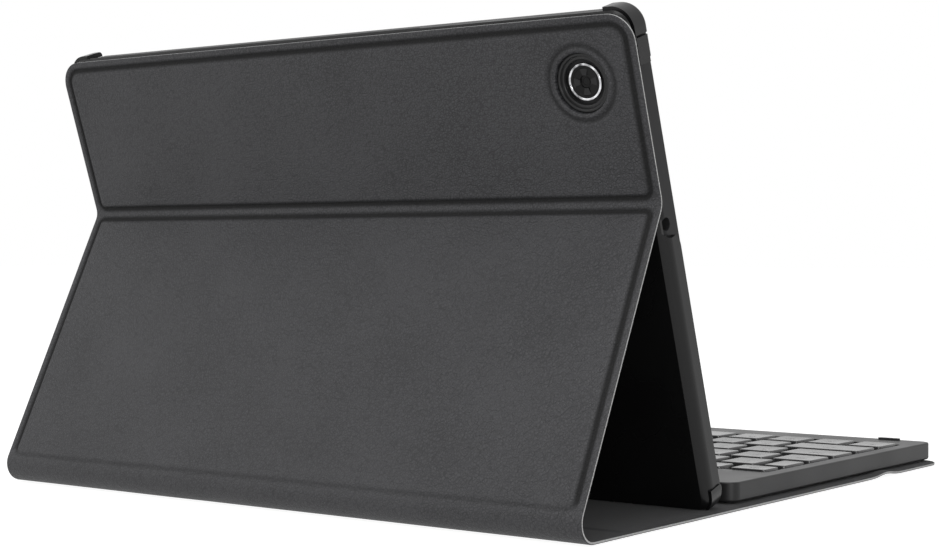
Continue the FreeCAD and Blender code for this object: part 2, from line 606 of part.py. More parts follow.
def keyboard_works(cells):
    """The layers under the keys, and the board and battery in the bay behind them."""
    front = min(cell[4] for cell in cells)
    side = KEYS_HALF - 1.0
    rear = KEYS_Y1 - 0.5
    posts = []
    holes = []
    for _, _, x0, x1, y0, y1 in cells:
        for x, y in post_places(x0, x1, y0, y1):
            posts.append(square_column(x, y, POST_HALF, PLATE_Z1 - 0.1, POST_Z1))
            holes.append(square_column(x, y, POST_HALF + 0.1, PLATE_Z1 - 1, DOME_Z1 + 1))
    membrane = box(-side, side, front, rear, FLOOR_Z, MEMBRANE_Z1)
    plate = box(-side, side, front, rear, MEMBRANE_Z1, PLATE_Z1).multiFuse(posts).removeSplitter()
    domes = box(-side, side, front, rear, PLATE_Z1, DOME_Z1).cut(group(holes))
    bay_y0 = KB_Y1 - REAR_BAY + BAY_SPARE
    bay_y1 = KB_Y1 - BAY_FROM_REAR
    circuit_z1 = FLOOR_Z + CIRCUIT_T
    circuit = box(*CIRCUIT_X, bay_y0, bay_y1, FLOOR_Z, circuit_z1)
    chip_y = bay_y0 + CHIP_SET_IN
    chips = [box(x, x + CHIP_SIDE, chip_y, chip_y + CHIP_SIDE, circuit_z1, circuit_z1 + CHIP_T) for x in CHIP_X]
    battery = rounded(*BATTERY_X, bay_y0, bay_y1, FLOOR_Z, PART_Z - BATTERY_CLEAR, BATTERY_CORNER)
    return {"kb_membrane": membrane, "kb_key_plate": plate, "kb_dome_sheet": domes,
            "kb_circuit": circuit.multiFuse(chips), "kb_battery": battery}


# ---------------------------------------------------------------- write the parts
def build():
    cells = key_cells()
    nodes = {}
    for made in (upper_cover(), flap_cover(), spine_cover(), front_cover(), tray(), tablet(),
                 keyboard_case(cells), keyboard_works(cells), keycaps(cells)):
        nodes.update(made)
    return nodes


def hinge_places():
    """Axis of the lower bend: the flap's end rolls from the bend onto the table."""
    start = V(0, BEND_Y + BEND_R * deg_sin(TURN), BEND_R - BEND_R * deg_cos(TURN))
    end = V(0, BEND_Y + BEND_R * math.radians(TURN), 0)
    chord = end - start
    right = V(0, chord.z, -chord.y)
    centre = (start + end) * 0.5 + right * (0.5 / deg_tan(TURN / 2))
    return {"bend": centre, "crease": V(0, 0, CREASE_Z), "spine": V(0, SPINE_Y, -0.15)}


os.makedirs("parts", exist_ok=True)
for node_name, node_shape in build().items():
    node_shape.exportStep("parts/" + node_name + ".step")
for hinge_name, point in hinge_places().items():
    print(hinge_name, [round(value, 3) for value in point])
print("camera", CAMERA_V, "pocket", POCKET_V0, POCKET_V1, "tray", TRAY_V0, TRAY_V1, "front", FRONT_N)
print("keyboard", KB_Y0, KB_Y1, "cover front", FRONT_Y0, "unit", UNIT, "key z", KEY_Z0, KEY_Z1)
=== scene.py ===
"""Looks of a folding tablet keyboard case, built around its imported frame.

The cover is described in flat coordinates: x runs across the case, s runs along the cover
from the crease (negative up the upper panel, positive down the flap, round the bend and
along the table) and n runs from the outer leather face inwards. Sizes are millimetres
until spot() or metres() turns them into the frame's metres.
"""
import math

import bpy
from mathutils import Euler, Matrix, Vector, noise


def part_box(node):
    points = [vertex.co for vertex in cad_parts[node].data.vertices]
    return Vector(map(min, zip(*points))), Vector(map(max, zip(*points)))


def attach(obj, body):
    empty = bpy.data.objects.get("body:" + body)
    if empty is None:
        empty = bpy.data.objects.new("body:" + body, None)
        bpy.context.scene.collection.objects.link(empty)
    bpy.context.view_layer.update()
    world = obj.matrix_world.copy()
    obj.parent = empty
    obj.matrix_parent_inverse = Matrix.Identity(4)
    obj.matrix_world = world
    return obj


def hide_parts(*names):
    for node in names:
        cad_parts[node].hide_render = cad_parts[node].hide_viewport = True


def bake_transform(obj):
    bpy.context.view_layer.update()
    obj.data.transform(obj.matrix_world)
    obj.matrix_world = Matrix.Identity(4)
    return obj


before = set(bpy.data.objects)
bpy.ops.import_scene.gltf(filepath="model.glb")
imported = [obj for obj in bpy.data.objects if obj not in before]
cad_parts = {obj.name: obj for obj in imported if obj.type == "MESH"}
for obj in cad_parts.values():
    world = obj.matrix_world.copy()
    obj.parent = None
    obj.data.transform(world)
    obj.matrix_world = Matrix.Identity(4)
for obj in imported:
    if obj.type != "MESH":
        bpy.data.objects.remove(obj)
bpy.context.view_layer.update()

MM = 0.001


def low(node, axis):
    """The least coordinate of a CAD node along an axis, in millimetres."""
    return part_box(node)[0][axis] / MM


def high(node, axis):
    """The greatest coordinate of a CAD node along an axis, in millimetres."""
    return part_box(node)[1][axis] / MM


def ease(value):
    """A smooth step: 0 up to 0, 1 from 1 on."""
    value = min(1.0, max(0.0, value))
    return value * value * (3.0 - 2.0 * value)


def bell(value):
    """A smooth bump: 1 at 0, near 0 beyond 2 to either side."""
    return math.exp(-value * value)


# ---------------------------------------------------------------- sizes of the cover
LEAN = math.radians(18.0)        # upper panel and tray, back from upright
SPREAD = math.radians(26.0)      # flap, forward from upright
TURN = math.pi / 2 + SPREAD
SKIN_T = 0.6
PANEL_T = 1.7
BEND_R = 7.0
JOINT_GAP = 0.15
HALF = high("skin_upper", 0)
BEND_Y = high("skin_spine", 1) - BEND_R
SPINE_Y = low("skin_spine", 1) - JOINT_GAP
FRONT_Y = low("skin_front", 1)
BEND_SET = BEND_R * math.tan(TURN / 2)
FLAP = (BEND_Y + BEND_SET) / math.sin(SPREAD) - BEND_SET
CREASE_Z = (FLAP + BEND_SET) * math.cos(SPREAD)
UPPER = (high("skin_upper", 2) - CREASE_Z - SKIN_T * math.sin(LEAN)) / math.cos(LEAN)

S_BEND = FLAP                              # where the lower bend begins
S_FLAT = S_BEND + BEND_R * TURN            # where the spine lies on the table
S_SPINE = S_FLAT + BEND_Y - SPINE_Y        # crease between the spine and the front cover
S_FRONT = S_SPINE + SPINE_Y - FRONT_Y
S_FLAP_SEAM = FLAP / 2
S_SPINE_SEAM = (S_FLAT + S_SPINE) / 2

COVER_CORNER = 9.0
CORNER_PULL = 22.0               # width of the side band that is drawn in round a corner
CREASE_HALF = 2.0
CREASE_ROUND = CREASE_HALF / math.tan((LEAN + SPREAD) / 2)
BOARD_INSET = 3.1
BOARD_CORNER = 5.4               # at the cover's own corners
BOARD_FOOT_GAP = 0.6             # between the flap's stiffener and the bend
BORDER_DROP = 0.35               # the border lies this much below the boarded area
BORDER_START = 0.7               # how far inside the stiffener's outline the drop starts
BORDER_RUN = 1.6
GROOVE_DEPTH = 0.8
GROOVE_HALF = 0.8
FOOT_FADE = 0.75                 # share of the groove that is lost along the flap's foot
FOOT_HALF = 2.6
BORDER_CORE = 0.25               # how much thicker the skin's raw core is past the boards
CORE_START = 0.5
LINING_BORDER_N = 1.3
LINING_START = 1.0               # how far inside the stiffener's outline the lining comes down
LINING_RUN = 2.2
LINING_LEAST = 0.1               # the lining's own thickness over the deepest of the leather's back
SHADE_AND_BURNISH_HALF = 1.1               # half width of the darkened band along the grooves: partly burnished leather, partly painted shade
RING_SHADE_AND_BURNISH = 0.6               # how dark the ring round the camera is painted: partly burnished leather, partly painted shade of the embossed recess
UNEVEN = 0.05                    # slow waviness of the leather, and of the lining
UNEVEN_SIZE = 31
LINING_UNEVEN = 0.03
LINING_UNEVEN_SIZE = 17
EDGE_ROUND = 0.25

CAMERA_HOLE_R = 9.5
EMBOSS_R = 11.7
EMBOSS_DEPTH = 0.5
EMBOSS_HALF = 0.85
BEAD_R = 10.45
BEAD_HEIGHT = 0.22
BEAD_HALF = 0.6
CAMERA_PATCH = 13.4              # half the square of the grid that turns round the camera

WAVE_Y = -163.0                  # a small lift in the front cover's side border
WAVE_HALF = 7.0
WAVE_HEIGHT = 0.9
WAVE_FROM_X = 117.5
WAVE_RUN = 6.0


def metres(x, y, z):
    return Vector((x * MM, y * MM, z * MM))


def tray_point(x, v, n):
    """A point of the upper panel or the tray: v up the panel from the crease, n inwards."""
    return metres(x, v * math.sin(LEAN) - n * math.cos(LEAN),
                  CREASE_Z + v * math.cos(LEAN) + n * math.sin(LEAN))


def camera_centre():
    """The camera's place on the upper panel, across it and up it from the crease."""
    corner_low, corner_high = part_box("camera_ring")
    middle = (corner_low + corner_high) / 2 / MM
    return middle.x, middle.y * math.sin(LEAN) + (middle.z - CREASE_Z) * math.cos(LEAN)


CAMERA_X, CAMERA_V = camera_centre()


def border_wave(x, y):
    """Lift of the front cover's border on the side of low x."""
    return WAVE_HEIGHT * bell((y - WAVE_Y) / WAVE_HALF) * ease((-x - WAVE_FROM_X) / WAVE_RUN)


def spot(x, s, n):
    """The frame's point for a point of the cover in its flat coordinates."""
    if s < -CREASE_HALF:
        return tray_point(x, -s, n)
    if s < CREASE_HALF:
        swing = (LEAN + SPREAD) / 2 + (LEAN + SPREAD) * s / (2 * CREASE_HALF) - LEAN
        middle = (SPREAD - LEAN) / 2
        reach = CREASE_ROUND / math.cos((LEAN + SPREAD) / 2)
        y = reach * math.cos(middle) - (CREASE_ROUND + n) * math.cos(swing)
        z = CREASE_Z + reach * math.sin(middle) - (CREASE_ROUND + n) * math.sin(swing)
        return metres(x, y, z)
    if s < S_BEND:
        return metres(x, s * math.sin(SPREAD) - n * math.cos(SPREAD),
                      CREASE_Z - s * math.cos(SPREAD) - n * math.sin(SPREAD))
    if s < S_FLAT:
        angle = TURN - (s - S_BEND) / BEND_R
        return metres(x, BEND_Y + (BEND_R - n) * math.sin(angle),
                      BEND_R - (BEND_R - n) * math.cos(angle))
    y = BEND_Y - (s - S_FLAT)
    return metres(x, y, n + border_wave(x, y))


# ---------------------------------------------------------------- relief of the cover
# Stiffener outlines as (half width, s at each end, corner radius at each end)
BOARDS = (
    (HALF - BOARD_INSET, -(UPPER - BOARD_INSET), -CREASE_HALF, BOARD_CORNER, 2.6),
    (HALF - BOARD_INSET, CREASE_HALF, S_BEND - BOARD_FOOT_GAP, 2.0, 3.2),
    (HALF - BOARD_INSET, S_SPINE + CREASE_HALF, S_FRONT - BOARD_INSET, 2.0, BOARD_CORNER),
)


def board_distance(x, s):
    """Distance to the nearest stiffener's outline, negative over a stiffener."""
    nearest = 1e9
    for half, s0, s1, radius0, radius1 in BOARDS:
        middle = (s0 + s1) / 2
        radius = radius0 if s < middle else radius1
        across = abs(x) - half + radius
        along = abs(s - middle) - (s1 - s0) / 2 + radius
        outside = math.hypot(max(across, 0.0), max(along, 0.0))
        nearest = min(nearest, outside + min(max(across, along), 0.0) - radius)
    return nearest


def groove_strength(s):
    """The groove and its painted shade are faint along the flap's foot, where the cover starts to bend."""
    return 1.0 - FOOT_FADE * bell((s - S_BEND) / FOOT_HALF)


def outer_n(x, s):
    """Depth of the outer leather face below the boarded area's face."""
    away = board_distance(x, s)
    depth = BORDER_DROP * ease((away + BORDER_START) / BORDER_RUN)
    depth += GROOVE_DEPTH * bell(away / GROOVE_HALF) * groove_strength(s)
    if s < 0:
        around = math.hypot(x - CAMERA_X, -s - CAMERA_V)
        depth += EMBOSS_DEPTH * bell((around - EMBOSS_R) / EMBOSS_HALF)
        depth -= BEAD_HEIGHT * bell((around - BEAD_R) / BEAD_HALF)
    depth += UNEVEN * noise.noise(Vector((x / UNEVEN_SIZE, s / UNEVEN_SIZE, 0.0)))
    return depth


def shade_and_burnish(x, s):
    """How much a place is darkened along the grooves and the camera ring: partly burnished leather, partly
    painted shade of these recesses.
    """
    strength = bell(board_distance(x, s) / SHADE_AND_BURNISH_HALF) * groove_strength(s)
    if s < 0:
        around = math.hypot(x - CAMERA_X, -s - CAMERA_V)
        strength = max(strength, RING_SHADE_AND_BURNISH * bell((around - EMBOSS_R) / EMBOSS_HALF))
    return strength


def skin_back_n(x, s):
    """Depth of the leather's back, which stays clear of the lining's face."""
    deep = outer_n(x, s) + SKIN_T + BORDER_CORE * ease(board_distance(x, s) + CORE_START)
    return min(deep, LINING_BORDER_N - LINING_LEAST)


def lining_n(x, s):
    """Depth of the inner lining's face."""
    raised = 1.0 - ease((board_distance(x, s) + LINING_START) / LINING_RUN)
    ripple = noise.noise(Vector((x / LINING_UNEVEN_SIZE, s / LINING_UNEVEN_SIZE, 5.0)))
    return LINING_BORDER_N + (PANEL_T - LINING_BORDER_N) * raised + LINING_UNEVEN * ripple


# ---------------------------------------------------------------- mesh building
GRID_COARSE = 5.0
GRID_GROWTH = 0.32               # how fast the grid's step may grow away from a fine zone
SHEET_SHARP = 50.0               # edges that turn by more degrees than this are shaded sharp
SHARP = 35.0


def spaced(stops, zones):
    """Positions from the first stop to the last, through every stop.

    They are close together in the zones, which are given as (from, to, step).
    """
    def step(at):
        return min([GRID_COARSE] + [fine + GRID_GROWTH * max(start - at, at - end, 0.0)
                                    for start, end, fine in zones])

    places = [stops[0]]
    for start, end in zip(stops, stops[1:]):
        marks = [start]
        while marks[-1] < end:
            marks.append(marks[-1] + step(marks[-1]))
        scale = (end - start) / (marks[-1] - start)
        places += [start + (mark - start) * scale for mark in marks[1:]]
    return places


class Patch:
    """Vertices with their flat coordinates, and faces with their band, the material's index."""

    def __init__(self):
        self.points = []
        self.flat = []
        self.shade_and_burnish = []
        self.faces = []
        self.bands = []

    def add(self, x, s, n):
        self.points.append(spot(x, s, n))
        self.flat.append((x * MM, s * MM))
        self.shade_and_burnish.append(shade_and_burnish(x, s))
        return len(self.points) - 1

    def face(self, corners, band):
        self.faces.append(corners)
        self.bands.append(band)

    def strip(self, outer, inner, band):
        """Faces between two closed loops of as many vertices."""
        for here in range(len(outer)):
            after = (here + 1) % len(outer)
            self.face((outer[here], outer[after], inner[after], inner[here]), band)

    def object(self, name, materials):
        piece = mesh_object(name, self.points, self.faces, materials, self.bands, SHEET_SHARP)
        layer = piece.data.uv_layers.new(name="Flat")
        for loop in piece.data.loops:
            layer.data[loop.index].uv = self.flat[loop.vertex_index]
        # Per-vertex mask of the grooves and the camera ring, which the leather paints darker: painted
        # shade, with some burnish.
        shade_and_burnish_layer = piece.data.attributes.new("ShadeAndBurnish", "FLOAT", "POINT")
        shade_and_burnish_layer.data.foreach_set("value", self.shade_and_burnish)
        return piece


def mesh_object(name, points, faces, materials, bands=None, sharp=SHARP):
    mesh = bpy.data.meshes.new(name)
    mesh.from_pydata(points, [], faces)
    for material in materials:
        mesh.materials.append(material)
    if bands:
        mesh.polygons.foreach_set("material_index", bands)
    mesh.polygons.foreach_set("use_smooth", [True] * len(mesh.polygons))
    mesh.set_sharp_from_angle(angle=math.radians(sharp))
    mesh.validate()
    piece = bpy.data.objects.new(name, mesh)
    bpy.context.scene.collection.objects.link(piece)
    return piece


def perimeter(columns, rows):
    """Grid places once around, counter-clockwise in x and s."""
    last_i, last_j = columns - 1, rows - 1
    around = [(i, 0) for i in range(last_i)] + [(last_i, j) for j in range(last_j)]
    around += [(i, last_j) for i in range(last_i, 0, -1)] + [(0, j) for j in range(last_j, 0, -1)]
    return around


def corner_warp(x, s, s_round, sign):
    """Draws a column in, so that the side edge runs round the corner of the cover at s_round."""
    half = HALF - EDGE_ROUND
    radius = COVER_CORNER - EDGE_ROUND
    into = (s - s_round) * sign
    if into >= radius:
        return x
    reach = half - radius + math.sqrt(max(0.0, radius ** 2 - (radius - into) ** 2))
    fixed = half - CORNER_PULL
    if abs(x) <= fixed:
        return x
    return math.copysign(fixed + (abs(x) - fixed) * (reach - fixed) / (half - fixed), x)


def sheet(name, columns, rows, top, bottom, rim, materials, round_low=False, round_high=False,
          hole=None):
    """A closed sheet over the grid, between the depths top and bottom.

    Its free edges follow the rim's steps (outwards, share of depth, band).
    """
    patch = Patch()
    places = []
    for s in rows:
        line = []
        for x in columns:
            placed = x
            if round_low:
                placed = corner_warp(placed, s, rows[0], 1)
            if round_high:
                placed = corner_warp(placed, s, rows[-1], -1)
            line.append((placed, s))
        places.append(line)
    front = [[patch.add(x, s, top(x, s)) for x, s in line] for line in places]
    back = [[patch.add(x, s, bottom(x, s)) for x, s in line] for line in places]
    opened = hole_cells(columns, rows, hole)
    for j in range(len(rows) - 1):
        for i in range(len(columns) - 1):
            if opened and opened[0] <= i < opened[1] and opened[2] <= j < opened[3]:
                continue
            patch.face((front[j][i], front[j][i + 1], front[j + 1][i + 1], front[j + 1][i]), 0)
            patch.face((back[j][i], back[j + 1][i], back[j + 1][i + 1], back[j][i + 1]), 2)
    around = perimeter(len(columns), len(rows))
    spots = [places[j][i] for i, j in around]
    outwards = edge_directions(around, spots, len(columns), len(rows), round_low, round_high)
    loop = [front[j][i] for i, j in around]
    for out, share, band in rim:
        following = []
        for (x, s), (dx, ds) in zip(spots, outwards):
            n_top, n_bottom = top(x, s), bottom(x, s)
            following.append(patch.add(x + dx * out, s + ds * out, n_top + (n_bottom - n_top) * share))
        patch.strip(following, loop, band)
        loop = following
    patch.strip([back[j][i] for i, j in around], loop, 2)
    if opened:
        camera_opening(patch, places, front, back, opened, top, bottom)
    return patch.object(name, materials)


def edge_directions(around, spots, columns, rows, round_low, round_high):
    """Outward direction at each place of the perimeter; none along a seam with the next sheet."""
    directions = []
    for index, (i, j) in enumerate(around):
        on_side = i in (0, columns - 1)
        on_seam = (j == 0 and not round_low) or (j == rows - 1 and not round_high)
        if on_seam:
            directions.append((0.0 if not on_side else (-1.0 if i == 0 else 1.0), 0.0))
            continue
        before, after = spots[index - 1], spots[(index + 1) % len(spots)]
        dx, ds = after[1] - before[1], before[0] - after[0]
        length = math.hypot(dx, ds)
        directions.append((dx / length, ds / length))
    return directions


def hole_cells(columns, rows, hole):
    """Grid range of the square that a hole takes, from a hole given as (x, s, half side)."""
    if hole is None:
        return None
    x, s, half = hole

    def nearest(values, value):
        return min(range(len(values)), key=lambda index: abs(values[index] - value))

    return (nearest(columns, x - half), nearest(columns, x + half),
            nearest(rows, s - half), nearest(rows, s + half))


OPENING_WIDEST = CAMERA_PATCH - 0.35
OPENING_STEP = 0.3
OPENING_RINGS = 9
OPENING_TURN = (0.35, 0.7, 1.0)  # how far each of the first rings has turned from square to round
HOLE_LIP_SHARE = 2.8             # the leather's lip reaches this many thicknesses into the hole
# The hole's rolled edge as (radius, share of depth, band)
HOLE_EDGE = ((10.0, 0.03, 0), (9.8, 0.09, 0), (9.6, 0.2, 0), (CAMERA_HOLE_R - 0.06, 0.36, 0),
             (CAMERA_HOLE_R - 0.1, 0.5, 0), (CAMERA_HOLE_R - 0.1, HOLE_LIP_SHARE, 0),
             (CAMERA_HOLE_R - 0.02, HOLE_LIP_SHARE, 0), (CAMERA_HOLE_R - 0.02, 1.0, 2))


def camera_opening(patch, places, front, back, opened, top, bottom):
    """Turns the grid's square round the camera into rings, down to the hole's rolled edge."""
    i0, i1, j0, j1 = opened
    square = [(i, j0) for i in range(i0, i1)] + [(i1, j) for j in range(j0, j1)]
    square += [(i, j1) for i in range(i1, i0, -1)] + [(i0, j) for j in range(j1, j0, -1)]
    corners = [places[j][i] for i, j in square]
    s_centre = -CAMERA_V

    def on_circle(place, radius):
        dx, ds = place[0] - CAMERA_X, place[1] - s_centre
        length = math.hypot(dx, ds)
        return CAMERA_X + dx / length * radius, s_centre + ds / length * radius

    loop = [front[j][i] for i, j in square]
    for share in OPENING_TURN:
        ring = []
        for place in corners:
            x, s = on_circle(place, OPENING_WIDEST)
            x, s = place[0] + (x - place[0]) * share, place[1] + (s - place[1]) * share
            ring.append(patch.add(x, s, top(x, s)))
        patch.strip(loop, ring, 0)
        loop = ring
    steps = [(OPENING_WIDEST - OPENING_STEP * count, 0.0, 0) for count in range(1, OPENING_RINGS + 1)]
    for radius, share, band in steps + list(HOLE_EDGE):
        ring = []
        for place in corners:
            x, s = on_circle(place, radius)
            ring.append(patch.add(x, s, top(x, s) + (bottom(x, s) - top(x, s)) * share))
        patch.strip(loop, ring, band)
        loop = ring
    patch.strip(loop, [back[j][i] for i, j in square], 2)


# ---------------------------------------------------------------- materials
NOISE_LOW = 0.3                  # nearly all of a noise lies between these two
NOISE_HIGH = 0.7


class Paint:
    """A node material: a Principled shader, plain values on its sockets and patterns linked to it."""

    def __init__(self, name, **values):
        self.material = bpy.data.materials.new(name)
        self.material.use_nodes = True
        self.tree = self.material.node_tree
        self.shader = self.tree.nodes["Principled BSDF"]
        for socket, value in values.items():
            self.shader.inputs[socket.replace("_", " ")].default_value = value

    def add(self, kind, inputs=(), **settings):
        node = self.tree.nodes.new(kind)
        for key, value in settings.items():
            setattr(node, key, value)
        for key, value in dict(inputs).items():
            if isinstance(value, bpy.types.NodeSocket):
                self.tree.links.new(value, node.inputs[key])
            else:
                node.inputs[key].default_value = value
        return node

    def flat(self):
        return self.add("ShaderNodeUVMap", uv_map="Flat").outputs["UV"]

    def solid(self):
        return self.add("ShaderNodeTexCoord").outputs["Object"]

    def noise(self, where, size, detail=2.0, rough=0.5):
        """Noise whose features are about size millimetres."""
        inputs = {"Vector": where, "Scale": 1 / (size * MM), "Detail": detail, "Roughness": rough}
        return self.add("ShaderNodeTexNoise", inputs).outputs["Fac"]

    def grains(self, where, size, edge):
        """0 in the creases between grains of about size millimetres, 1 from edge inwards."""
        inputs = {"Vector": where, "Scale": 1 / (size * MM)}
        cells = self.add("ShaderNodeTexVoronoi", inputs, feature="DISTANCE_TO_EDGE")
        return self.stretch(cells.outputs["Distance"], 0.0, edge, 0.0, 1.0)

    def stretch(self, value, low_in, high_in, low_out, high_out):
        inputs = {"Value": value, "From Min": low_in, "From Max": high_in,
                  "To Min": low_out, "To Max": high_out}
        return self.add("ShaderNodeMapRange", inputs).outputs["Result"]

    def between(self, pattern, low_out, high_out):
        """A noise spread over a range of values."""
        return self.stretch(pattern, NOISE_LOW, NOISE_HIGH, low_out, high_out)

    def sum(self, first, second, operation="ADD"):
        return self.add("ShaderNodeMath", {0: first, 1: second}, operation=operation).outputs["Value"]

    def colours(self, fac, dark, light):
        ramp = self.add("ShaderNodeValToRGB", {"Fac": fac})
        ramp.color_ramp.elements[0].color = (*dark, 1.0)
        ramp.color_ramp.elements[1].color = (*light, 1.0)
        ramp.color_ramp.elements[0].position = NOISE_LOW
        ramp.color_ramp.elements[1].position = NOISE_HIGH
        return ramp.outputs["Color"]

    def attribute(self, name):
        return self.add("ShaderNodeAttribute", attribute_name=name).outputs["Fac"]

    def scaled(self, colour, factor):
        scaler = self.add("ShaderNodeVectorMath", {0: colour, "Scale": factor}, operation="SCALE")
        return scaler.outputs["Vector"]

    def set(self, socket, output):
        self.tree.links.new(output, self.shader.inputs[socket])

    def bump(self, height, depth, strength=1.0):
        """Bump whose height of 1 stands depth millimetres proud."""
        inputs = {"Height": height, "Distance": depth * MM, "Strength": strength}
        self.set("Normal", self.add("ShaderNodeBump", inputs).outputs["Normal"])


def leather_paint():
    """Pebbled leather-look sheet: grains between fine dark creases, and darker, duller grooves, where the
    darkness is partly burnished leather and partly painted shade.
    """
    paint = Paint("leather", Specular_IOR_Level=0.38)
    where = paint.flat()
    patchy = paint.noise(where, 38.0, 3.0, 0.55)
    pores = paint.noise(where, 0.5, 3.0, 0.7)
    grains = paint.grains(where, 0.95, 0.3)
    coarse = paint.grains(where, 2.6, 0.07)
    tone = paint.sum(paint.between(patchy, 0.0, 0.2), paint.sum(grains, 0.5, "MULTIPLY"))
    tone = paint.sum(tone, paint.between(pores, -0.15, 0.35))
    tone = paint.sum(tone, paint.sum(coarse, 0.18, "MULTIPLY"))
    colour = paint.colours(tone, (0.007, 0.007, 0.0083), (0.032, 0.032, 0.0348))
    # This mask darkens the base colour in the grooves and round the camera ring, down to about an eighth:
    # painted shade, with some real burnish. It also makes them duller.
    line = paint.attribute("ShadeAndBurnish")
    paint.set("Base Color", paint.scaled(colour, paint.stretch(line, 0.1, 0.85, 1.0, 0.12)))
    height = paint.sum(paint.sum(grains, paint.sum(pores, 0.7, "MULTIPLY")),
                       paint.sum(coarse, 0.5, "MULTIPLY"))
    paint.bump(height, 0.1)
    paint.set("Roughness", paint.sum(paint.between(pores, 0.46, 0.6),
                                     paint.stretch(line, 0.1, 0.8, 0.0, 0.35)))
    return paint.material


def core_paint():
    """The pale cut edge of the leather-look sheet."""
    paint = Paint("leather_core", Roughness=0.85)
    where = paint.flat()
    paint.set("Base Color", paint.colours(paint.noise(where, 0.5, 2.0),
                                          (0.26, 0.26, 0.26), (0.46, 0.46, 0.455)))
    paint.bump(paint.noise(where, 0.3, 2.0), 0.03)
    return paint.material


def lining_paint():
    """Suede-like cloth with a fine, brushed nap."""
    paint = Paint("suede_lining", Roughness=0.95, Specular_IOR_Level=0.25,
                  Sheen_Weight=0.06, Sheen_Roughness=0.6)
    where = paint.flat()
    nap = paint.noise(where, 0.4, 3.0, 0.7)
    brushed = paint.noise(where, 18.0, 3.0)
    paint.set("Base Color", paint.colours(paint.sum(paint.sum(nap, brushed), 0.5, "MULTIPLY"),
                                          (0.017, 0.017, 0.018), (0.028, 0.028, 0.0295)))
    paint.bump(nap, 0.08)
    return paint.material


GLOSS_SPREAD = 0.04              # how far a plastic's roughness strays to each side


def plastic_paint(name, dark, light, roughness, grain, depth, **values):
    """Moulded plastic: fine spark-eroded grain, slightly patchy gloss and colour."""
    paint = Paint(name, **values)
    where = paint.solid()
    texture = paint.noise(where, grain, 2.0, 0.6)
    patchy = paint.noise(where, 25.0, 3.0)
    blotches = paint.sum(paint.sum(texture, patchy), 0.5, "MULTIPLY")
    paint.set("Base Color", paint.colours(blotches, dark, light))
    paint.set("Roughness", paint.between(patchy, roughness - GLOSS_SPREAD, roughness + GLOSS_SPREAD))
    paint.bump(texture, depth)
    return paint.material


def grey(value, blue=1.03):
    return (value, value, value * blue)


def metal_paint(name, dark, light, roughness, grain, depth):
    paint = Paint(name, Metallic=1.0)
    where = paint.solid()
    texture = paint.noise(where, grain, 3.0)
    paint.set("Base Color", paint.colours(texture, dark, light))
    paint.set("Roughness", paint.between(texture, roughness * 0.8, roughness * 1.2))
    paint.bump(texture, depth)
    return paint.material


def screen_paint():
    """Black cover glass over a switched-off display, with faint smears."""
    paint = Paint("screen_glass", Coat_Weight=0.3, Coat_Roughness=0.03)
    where = paint.solid()
    smear = paint.noise(where, 30.0, 3.0, 0.6)
    paint.set("Base Color", paint.colours(smear, (0.0045, 0.0045, 0.0055), (0.007, 0.007, 0.008)))
    paint.set("Roughness", paint.between(smear, 0.04, 0.1))
    return paint.material


LEATHER = leather_paint()
CORE = core_paint()
LINING = lining_paint()
TRAY = plastic_paint("tray_plastic", grey(0.004), grey(0.006), 0.27, 0.35, 0.005,
                     Specular_IOR_Level=0.22)
BOARD = plastic_paint("grey_board", (0.20, 0.19, 0.17), (0.28, 0.26, 0.23), 0.9, 0.8, 0.05)
TABLET = plastic_paint("tablet_shell_coat", grey(0.016), grey(0.022), 0.4, 0.3, 0.004,
                       Specular_IOR_Level=0.1)
SCREEN = screen_paint()
# The chrome's colour runs from dark grey to near white in patches of about 2.6 mm: painted reflections of
# the surroundings.
CHROME = metal_paint("chrome_painted_reflections", grey(0.10), grey(0.85), 0.16, 2.6, 0.004)
LENS_BODY = plastic_paint("lens_barrel", grey(0.002), grey(0.0035), 0.3, 0.5, 0.001,
                          Specular_IOR_Level=0.15)
# Lighter plastic for the lens's bright sectors: painted reflections.
LENS_GLINT = plastic_paint("lens_glint", grey(0.016), grey(0.024), 0.3, 0.5, 0.001,
                           Specular_IOR_Level=0.15)
BEZEL = plastic_paint("camera_bezel", grey(0.012), grey(0.02), 0.35, 0.3, 0.004,
                      Specular_IOR_Level=0.25)
KB_CASE = plastic_paint("keyboard_plastic", grey(0.014), grey(0.019), 0.4, 0.3, 0.008,
                        Specular_IOR_Level=0.2)
KEYCAP = plastic_paint("keycap_plastic", grey(0.022), grey(0.028), 0.23, 0.28, 0.004)
LEGEND = plastic_paint("legend_print", grey(0.33, 1.0), grey(0.38, 1.0), 0.6, 0.4, 0.002)
KB_INNER = plastic_paint("inner_plastic", grey(0.008), grey(0.012), 0.6, 0.4, 0.01,
                         Specular_IOR_Level=0.2)
SILICONE = plastic_paint("soft_rubber", grey(0.012), grey(0.018), 0.75, 0.3, 0.01,
                         Specular_IOR_Level=0.3)
MEMBRANE = plastic_paint("membrane_film", (0.5, 0.51, 0.53), (0.6, 0.61, 0.63), 0.3, 6.0, 0.01)
CIRCUIT = plastic_paint("circuit_board", (0.01, 0.06, 0.03), (0.014, 0.085, 0.04), 0.4, 1.2, 0.02)
BATTERY = plastic_paint("battery_foil", (0.35, 0.36, 0.38), (0.45, 0.46, 0.48), 0.35, 9.0, 0.05)
MAGNET = metal_paint("nickel_magnet", grey(0.5), grey(0.6), 0.3, 0.5, 0.004)
SCREW = metal_paint("zinc_screw", grey(0.4), grey(0.55), 0.35, 0.4, 0.004)
SOCKET = metal_paint("socket_steel", grey(0.45), grey(0.55), 0.3, 0.5, 0.003)
LIGHT = plastic_paint("light_pipe", (0.55, 0.6, 0.55), (0.65, 0.7, 0.65), 0.25, 1.5, 0.004)

